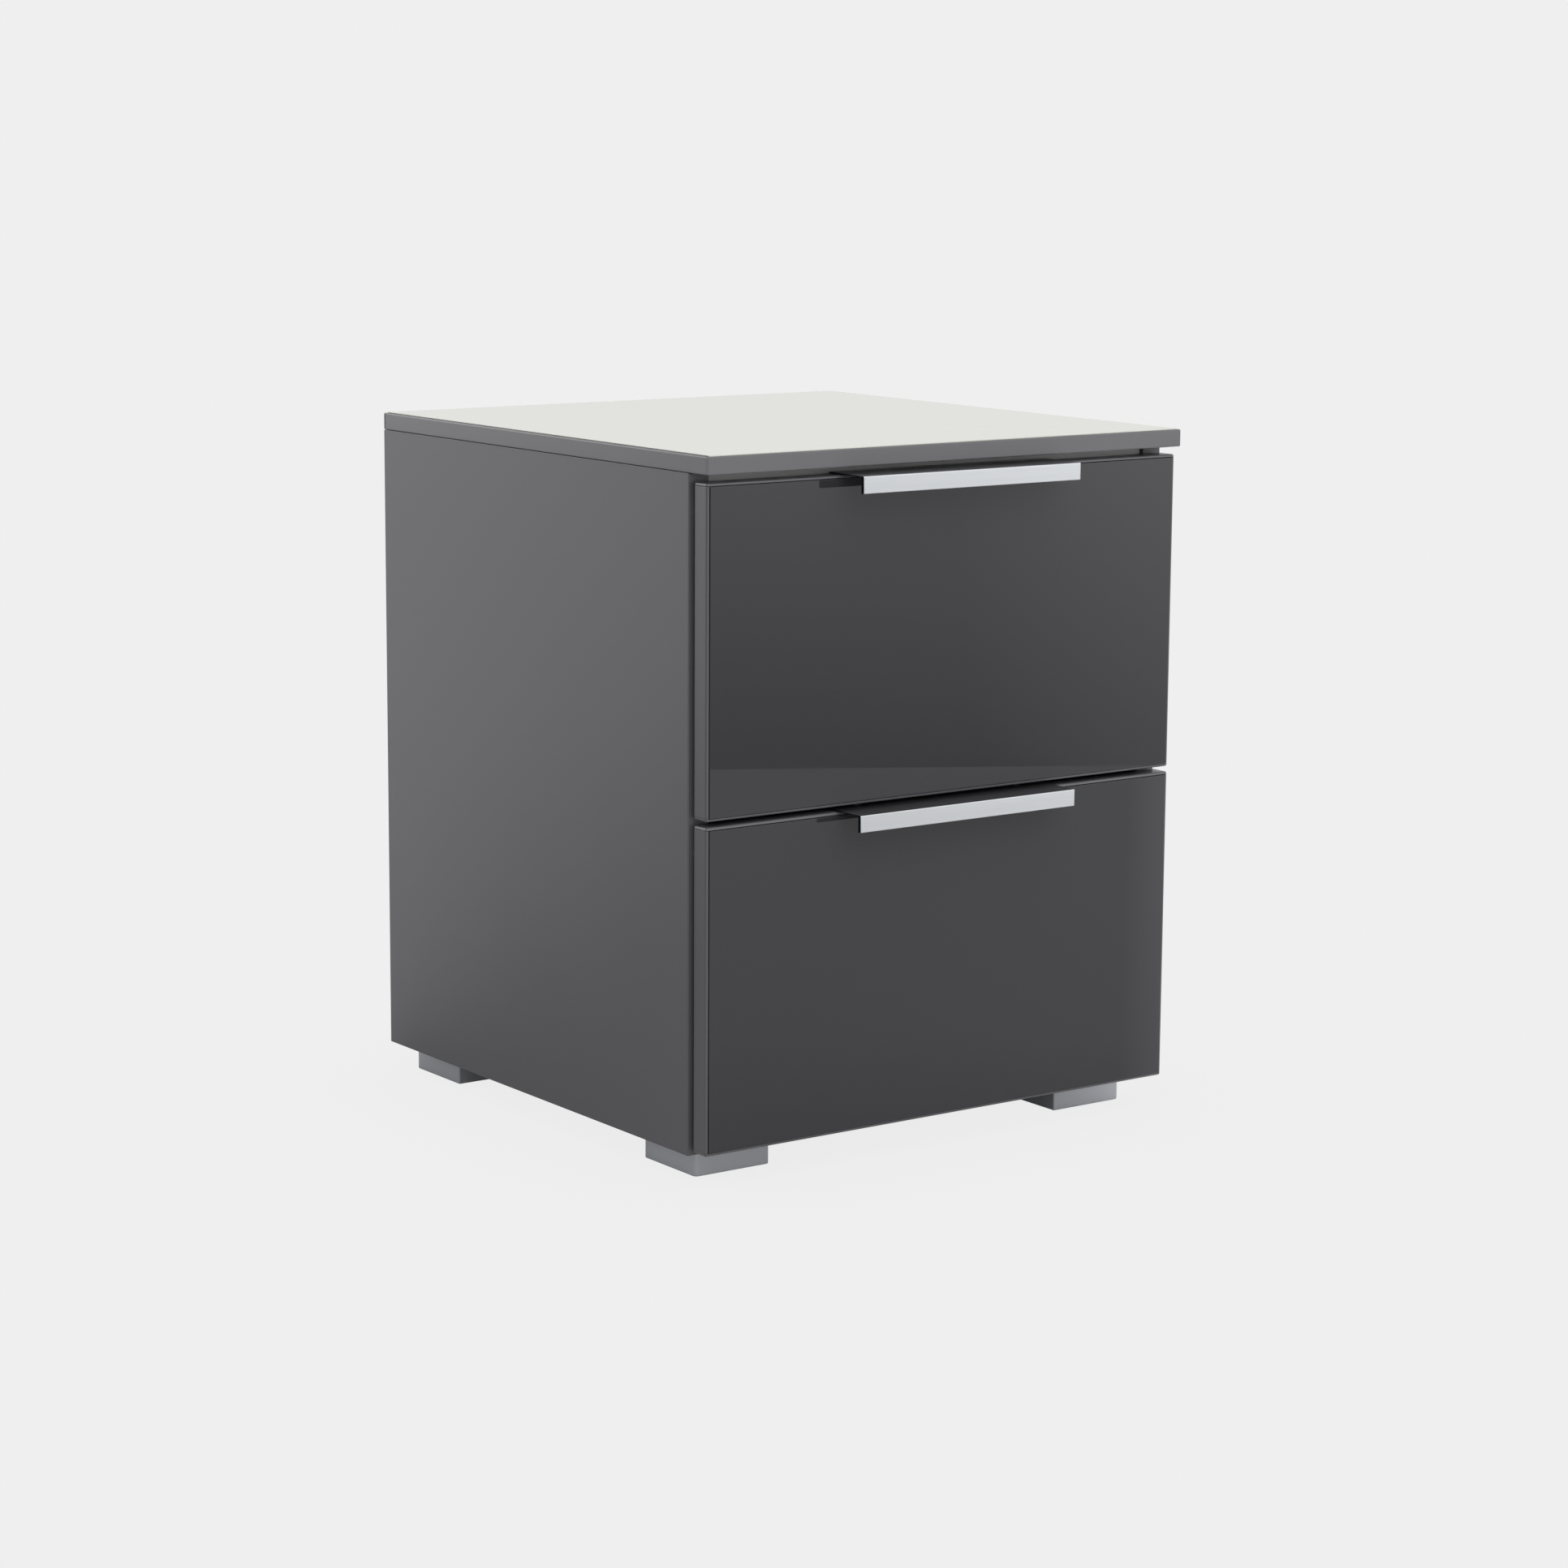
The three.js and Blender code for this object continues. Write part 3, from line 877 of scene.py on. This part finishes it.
def makeHandle():
    low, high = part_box("lower_handle")
    under = high.z - handle["flange"]
    wallBack = low.y + handle["wall"]
    bar = addBlock("lowerHandle", low, (high.x, wallBack, high.z))
    editFaces(bar, lambda face: True)
    bpy.ops.mesh.bisect(plane_co=(0, 0, under), plane_no=(0, 0, 1))
    leaveEdit()
    editFaces(bar, lambda face: face.normal.y > squarely and face.calc_center_median().z > under)
    bpy.ops.mesh.extrude_region_move(TRANSFORM_OT_translate={"value": (0, high.y - wallBack, 0)})
    leaveEdit()

    def isInner(edge):
        centre = middle(edge)
        isCorner = abs(centre.z - under) < onPlane and centre.y < wallBack + onPlane
        return along(edge, axisX) and isCorner

    def isFront(edge):
        return middle(edge).y < low.y + onPlane

    roundEdges(bar, isInner, handle["fillet"], segments=4)
    holes = []
    for side in sides:
        centre = midPoint(f"lower_{side}_handle_screw")
        holes.append(countersink("hole", Vector((centre.x, centre.y, high.z)), fitGap))
    roundEdges(bar, lambda edge: isSharp(edge, degrees=60) and isFront(edge), handle["edge"])
    roundEdges(bar, lambda edge: isSharp(edge, degrees=60), handle["flangeEdge"], segments=2)
    cutWith(bar, holes)
    drawerParts.append((bar, "lower_handle", "aluminium", anodised))


# A countersunk screw without its recess, with the flat top of its head at the place given. With
# a clearance, it is the cutter for the screw's hole.
def countersink(name, place, clearance):
    head = countersunk["head"] + clearance
    shank = countersunk["shank"] + clearance
    taper = countersunk["head"] - countersunk["shank"]
    top = clearance + (mm if clearance else 0)
    tip, neck = place - axisZ * countersunk["length"], place - axisZ * taper
    body = addRound(name, tip, neck, shank, vertices=32)
    editFaces(body, lambda face: face.normal.z > squarely)
    bpy.ops.mesh.extrude_region_move(TRANSFORM_OT_translate={"value": (0, 0, taper)})
    bpy.ops.transform.resize(value=(head / shank, head / shank, 1), center_override=place)
    if top:
        bpy.ops.mesh.extrude_region_move(TRANSFORM_OT_translate={"value": (0, 0, top)})
    leaveEdit()
    return body


def makeHandleScrews():
    for side in sides:
        node = f"lower_{side}_handle_screw"
        low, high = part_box(node)
        face = Vector(((low.x + high.x) / 2, (low.y + high.y) / 2, high.z))
        body = countersink(pieceName(node), face, 0)
        span = countersunk["head"] * 2 * screw["slotShare"]
        width, depth = countersunk["slotWidth"], countersunk["slotDepth"]
        cutWith(body, crossCutters(face, axisZ, span, width, depth))
        drawerParts.append((body, node, "zinc", zinc))


def makeBumpers():
    for side in sides:
        node = f"lower_{side}_bumper"
        low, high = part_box(node)
        centre = (low + high) / 2
        front = Vector((centre.x, low.y, centre.z))
        back = Vector((centre.x, high.y, centre.z))
        pad = addRound(pieceName(node), front, back, (high.z - low.z) / 2, vertices=40)
        roundEdges(pad, lambda edge: middle(edge).y > centre.y, bumper["rim"], segments=5)
        drawerParts.append((pad, node, "clear_rubber", softPad))


makeFront()
makeHandle()
makeHandleScrews()
makeBumpers()
print("lower front made")

# drawer box
box = {"edge": 1.0 * mm, "backEdge": 0.6 * mm, "grooveRun": 10 * mm}


def makeDrawerBox():
    bottomLow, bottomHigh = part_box("lower_drawer_bottom")
    slack = Vector((fitGap, box["grooveRun"], fitGap))
    for side in sides:
        node = f"lower_drawer_{side}_side"
        low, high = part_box(node)
        panel = addBlock(pieceName(node), low, high)
        cutWith(panel, [addBlock("groove", bottomLow - slack, bottomHigh + slack)])

        def onRim(edge, top=high.z):
            return along(edge, axisY) and middle(edge).z > top - onPlane

        roundEdges(panel, onRim, box["edge"], segments=5)
        roundEdges(panel, lambda edge: isSharp(edge, degrees=60), board["edge"], segments=2)
        drawerParts.append((panel, node, "drawer_board", greyFoil))
    back = plainBoard("lower_drawer_back", box["backEdge"])
    drawerParts.append((back, "lower_drawer_back", "drawer_board", greyFoil))
    bottom = plainBoard("lower_drawer_bottom", board["thinEdge"])
    drawerParts.append((bottom, "lower_drawer_bottom", "hardboard", hardboard))


makeDrawerBox()
print("lower drawer box made")


# runners and rollers
runner = {
    "steel": 1.2 * mm,
    "bend": 1.0 * mm,
    "pinRadius": 2.5 * mm,
    "headRadius": 4 * mm,
    "headThickness": 0.8 * mm,
    "headRim": 0.25 * mm,
}
tyre = {"bore": 2.6 * mm, "chamfer": 0.8 * mm, "soften": 0.3, "steps": 64}
cabinetParts = []  # (piece, node or "", slot, material) at the lower drawer, riding on the cabinet


# A strip of bent steel: a path of (x, z) places run from one y to the other and thickened.
def bentSheet(name, path, startY, endY):
    sheet = addOutline(name, [(x, startY, z) for x, z in path])
    bpy.ops.mesh.extrude_region_move(TRANSFORM_OT_translate={"value": (0, endY - startY, 0)})
    leaveEdit()
    editEdges(sheet, lambda edge: along(edge, axisY) and len(edge.link_faces) == 2)
    bpy.ops.mesh.bevel(offset=runner["bend"], segments=5, affect="EDGES")
    leaveEdit()
    wall = sheet.modifiers.new("wall", "SOLIDIFY")
    wall.thickness = runner["steel"]
    wall.offset = 0
    wall.use_even_offset = True
    bpy.ops.object.modifier_apply(modifier=wall.name)
    pickOnly(sheet)
    bpy.ops.object.mode_set(mode="EDIT")
    bpy.ops.mesh.select_all(action="SELECT")
    bpy.ops.mesh.normals_make_consistent(inside=False)
    leaveEdit()
    return sheet


def rollerPin(heldX, endX, y, z):
    inward = math.copysign(1, endX - heldX)
    pin = addRound("pin", (heldX, y, z), (endX, y, z), runner["pinRadius"], vertices=32)
    neckX = endX - inward * runner["headThickness"]
    head = addRound("head", (neckX, y, z), (endX, y, z), runner["headRadius"], vertices=32)
    roundAll(head, runner["headRim"])
    return [pin, head]


# A roller is a body of its own, with the name of its solid.
def makeRoller(node):
    low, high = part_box(node)
    centre = (low + high) / 2
    radius = (high.z - low.z) / 2
    half = (high.x - low.x) / 2
    edge = tyre["chamfer"]
    soft = edge * tyre["soften"]
    profile = [
        (-half, tyre["bore"]),
        (-half, radius - edge),
        (-half + soft, radius - soft),
        (-half + edge, radius),
        (half - edge, radius),
        (half - soft, radius - soft),
        (half, radius - edge),
        (half, tyre["bore"]),
    ]
    places = [(centre.x + x, centre.y, centre.z + r) for x, r in profile]
    wheel = addOutline(pieceName(node), places, closed=True)
    bpy.ops.mesh.spin(steps=tyre["steps"], angle=2 * math.pi, center=centre, axis=(1, 0, 0))
    bpy.ops.mesh.select_all(action="SELECT")
    bpy.ops.mesh.remove_doubles(threshold=onCorner)
    bpy.ops.mesh.normals_make_consistent(inside=False)
    leaveEdit()
    return handOver(wheel, node, nylon, [node])


# The x of a drawer side's outer face, where its runner is fixed.
def drawerFace(side):
    low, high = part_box(f"lower_drawer_{side}_side")
    return high.x + fitGap if side == "right" else low.x - fitGap


def makeRunners():
    half = runner["steel"] / 2
    for side, sign in sides.items():
        node = f"lower_{side}_cabinet_runner"
        low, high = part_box(node)
        outerX, innerX = (high.x, low.x) if side == "right" else (low.x, high.x)
        webX = outerX - sign * half
        floorZ, roofZ = low.z + half, high.z - half
        path = [(innerX, floorZ), (webX, floorZ), (webX, roofZ), (innerX, roofZ)]
        channel = bentSheet("channel", path, low.y, high.y)
        roll = midPoint(f"lower_{side}_cabinet_roller")
        whole = joinPieces(pieceName(node), [channel] + rollerPin(webX, innerX, roll.y, roll.z))
        cabinetParts.append((whole, node, "white_steel", whiteSteel))

        node = f"lower_{side}_drawer_runner"
        low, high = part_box(node)
        outerX, innerX = (high.x, low.x) if side == "right" else (low.x, high.x)
        webX = drawerFace(side) + sign * half
        floorZ, roofZ = low.z + half, high.z - half
        path = [(outerX, roofZ), (webX, roofZ), (webX, floorZ), (innerX, floorZ)]
        rail = bentSheet("rail", path, low.y, high.y)
        roll = midPoint(f"lower_{side}_drawer_roller")
        whole = joinPieces(pieceName(node), [rail] + rollerPin(webX, outerX, roll.y, roll.z))
        drawerParts.append((whole, node, "white_steel", whiteSteel))


# Small screws through the runners' webs: the object has them, and the solids leave them out.
fixing = {
    "radius": 3 * mm,
    "height": 1.3 * mm,
    "shank": 1.5 * mm,  # radius
    "length": 9 * mm,
    "cabinetShares": (0.12, 0.5, 0.86),  # of the runner's length
    "drawerShares": (0.1, 0.5, 0.86),
}


# A row of screws that look along an axis, from a runner's web.
def screwRow(name, node, webFace, axis, shares):
    low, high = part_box(node)
    screws = []
    for share in shares:
        place = Vector((webFace, low.y + (high.y - low.y) * share, (low.z + high.z) / 2))
        face = place + axis * fixing["height"]
        sizes = [fixing[size] for size in ("radius", "height", "shank", "length")]
        screws.append(screwPiece("screw", face, axis, *sizes))
    return joinPieces(name, screws)


def makeRunnerScrews():
    for side, sign in sides.items():
        node = f"lower_{side}_cabinet_runner"
        low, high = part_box(node)
        outerX = high.x if side == "right" else low.x
        webFace = outerX - sign * runner["steel"]
        name = f"lower{side.capitalize()}CabinetRunnerScrews"
        row = screwRow(name, node, webFace, axisX * -sign, fixing["cabinetShares"])
        cabinetParts.append((row, "", "zinc", zinc))

        node = f"lower_{side}_drawer_runner"
        webFace = drawerFace(side) + sign * runner["steel"]
        name = f"lower{side.capitalize()}DrawerRunnerScrews"
        row = screwRow(name, node, webFace, axisX * sign, fixing["drawerShares"])
        drawerParts.append((row, "", "zinc", zinc))


makeRunners()
makeRunnerScrews()
for level in ("lower", "upper"):
    for side in sides:
        for kind in ("cabinet", "drawer"):
            makeRoller(f"{level}_{side}_{kind}_roller")
print("runners and rollers made")

# the upper storey is the lower one again
for parts, bodies in (
    (drawerParts, ("lower_drawer", "upper_drawer")),
    (cabinetParts, ("cabinet", "cabinet")),
):
    for piece, node, slot, material in parts:
        twin = copyPiece(piece, piece.name.replace("lower", "upper"), lift)
        nodes = [node] if node else []
        handOver(piece, bodies[0], material, nodes)
        twinNodes = [name.replace("lower", "upper") for name in nodes]
        handOver(twin, bodies[1], material, twinNodes)
print("upper drawer copied")

# floor and light
studio = {
    "backdrop": (0.863, 0.863, 0.863, 1),  # the plain background and floor, linear
    "contactShadow": (0.825, 0.825, 0.825, 1),  # painted contact shadow on the floor right beside the feet
    "contactShadowReach": 0.16,
    "floorWidth": 8.0,
    "floorFront": 1.748,  # the stage's edge, seen mirrored in the glass
    "floorRear": 2.4,
    "floorTurn": 30.3,  # degrees
    "shadedPaper": (0.17, 0.17, 0.17, 1),  # the floor as the cabinet mirrors it, at the rear left
    "litWay": (0.6, -0.8, 0),
    "beamWay": (1, 0.868, 0),
}
# Painted light and shade on that floor: colour, and where each begins and is full.
paintedFloorLight = {
    "lit": ((0.68, 0.68, 0.68, 1), -0.9, 0.5),  # towards the front right
    "beam": ((0.98, 0.98, 0.98, 1), -0.01, 0.03),  # lit strip at the right
    "under": ((0.16, 0.16, 0.16, 1), 0.19, 0.10),  # painted shade under the cabinet
}
# The room's light. A run is where a change begins and is full along X, Y or Z of a direction.
room = {
    "horizonRun": (-0.17, 0.10),  # Z
    "horizonLevels": (0.27, 0.55),
    "ceilingRun": (0.1, 1.0),  # Z
    "ceilingLevel": 0.1,
    "leftRun": (-0.6, -0.1),  # X
    "leftShare": 0.72,
    "wallRise": (-0.18, -0.08),  # Z, pale wall in front of the cabinet
    "wallRun": (-0.2, -0.7),  # Y
    "wallLevel": 0.75,
    "windowRun": (0.615, 0.72),  # X, window at the front right
    "windowFront": (0.0, -0.3),  # Y
    "windowLevel": 0.8,
}
# Soft lights round the cabinet: direction, cosine where each begins and is full, and level.
softLights = {
    "rearLeft": ((-0.34, 0.90, 0.27), 0.87, 0.97, 2.7),
    "rearRight": ((0.59, 0.80, 0.12), 0.90, 0.98, 0.28),
    "overFront": ((-0.10, -0.62, 0.78), 0.82, 0.95, 1.6),
}


# Shows one shader to the camera, and the other to mirrors and matt surfaces.
def splitForCamera(tree, seen, mirrored, outputKind):
    path = tree.nodes.new("ShaderNodeLightPath")
    choose = tree.nodes.new("ShaderNodeMixShader")
    out = tree.nodes.new(outputKind)
    tree.links.new(path.outputs["Is Camera Ray"], choose.inputs[0])
    tree.links.new(mirrored.outputs[0], choose.inputs[1])
    tree.links.new(seen.outputs[0], choose.inputs[2])
    tree.links.new(choose.outputs[0], out.inputs["Surface"])


def floorMaterial():
    material = bpy.data.materials.new("paleFloor")
    material.use_nodes = True
    tree = material.node_tree
    tree.nodes.clear()
    link = tree.links.new
    # For the camera the floor glows at the backdrop's grey, with a painted contact shadow near the
    # cabinet, read from ambient occlusion.
    near = addNode(tree, "ShaderNodeAmbientOcclusion", Distance=studio["contactShadowReach"])
    dark, pale = plainColour(tree, studio["contactShadow"]), plainColour(tree, studio["backdrop"])
    glow = tree.nodes.new("ShaderNodeEmission")
    link(mixColour(tree, near.outputs["AO"], dark, pale), glow.inputs["Color"])

    place = tree.nodes.new("ShaderNodeTexCoord").outputs["Object"]
    parts = tree.nodes.new("ShaderNodeSeparateXYZ")
    link(place, parts.inputs[0])
    aside = [combine(tree, "ABSOLUTE", parts.outputs[axis]) for axis in "XY"]
    runs = {
        "lit": distanceAlong(tree, place, studio["litWay"]),
        "beam": distanceAlong(tree, place, studio["beamWay"]),
        "under": combine(tree, "MAXIMUM", *aside),
    }
    # The floor's colour for mirrors and matt surfaces: painted shade, with painted light and shade
    # laid over it.
    tint = plainColour(tree, studio["shadedPaper"])
    for name, (colour, begin, full) in paintedFloorLight.items():
        share = ramp(tree, runs[name], begin, full)
        tint = mixColour(tree, share, tint, plainColour(tree, colour))
    paper = tree.nodes.new("ShaderNodeBsdfDiffuse")
    link(tint, paper.inputs["Color"])
    splitForCamera(tree, glow, paper, "ShaderNodeOutputMaterial")
    return material


def makeFloor():
    deselectAll()
    bpy.ops.mesh.primitive_plane_add(size=1)
    floor = bpy.context.object
    floor.name = floor.data.name = "floor"
    front, rear = studio["floorFront"], studio["floorRear"]
    turn = math.radians(studio["floorTurn"])
    floor.scale = (studio["floorWidth"], front + rear, 1)
    floor.rotation_euler = (0, 0, turn)
    floor.location = Vector((-math.sin(turn), math.cos(turn), 0)) * (rear - front) / 2
    settle(floor)
    floor.data.materials.append(floorMaterial())


def makeSky():
    world = bpy.data.worlds.new("studio")
    bpy.context.scene.world = world
    world.use_nodes = True
    tree = world.node_tree
    tree.nodes.clear()
    direction = tree.nodes.new("ShaderNodeTexCoord").outputs["Generated"]
    parts = tree.nodes.new("ShaderNodeSeparateXYZ")
    tree.links.new(direction, parts.inputs[0])
    x, y, z = parts.outputs
    horizon = ramp(tree, z, *room["horizonRun"], *room["horizonLevels"])
    ceiling = ramp(tree, z, *room["ceilingRun"], 0.0, room["ceilingLevel"])
    level = combine(tree, "ADD", horizon, ceiling)
    level = combine(tree, "MULTIPLY", level, ramp(tree, x, *room["leftRun"], room["leftShare"]))
    wall = ramp(tree, z, *room["wallRise"], 0.0, room["wallLevel"])
    wall = combine(tree, "MULTIPLY", wall, ramp(tree, y, *room["wallRun"]))
    window = ramp(tree, x, *room["windowRun"], 0.0, room["windowLevel"])
    window = combine(tree, "MULTIPLY", window, ramp(tree, y, *room["windowFront"]))
    glows = [wall, window]
    for towards, begin, full, strength in softLights.values():
        facing = distanceAlong(tree, direction, Vector(towards).normalized())
        glows.append(ramp(tree, facing, begin, full, 0.0, strength, "SMOOTHSTEP"))
    for glow in glows:
        level = combine(tree, "ADD", level, glow)
    light = addNode(tree, "ShaderNodeBackground", Color=(1, 1, 1, 1))
    tree.links.new(level, light.inputs["Strength"])
    plain = addNode(tree, "ShaderNodeBackground", Color=studio["backdrop"], Strength=1.0)
    splitForCamera(tree, plain, light, "ShaderNodeOutputWorld")


makeFloor()
makeSky()
bpy.context.scene.view_settings.view_transform = "Standard"
print("floor and light set")
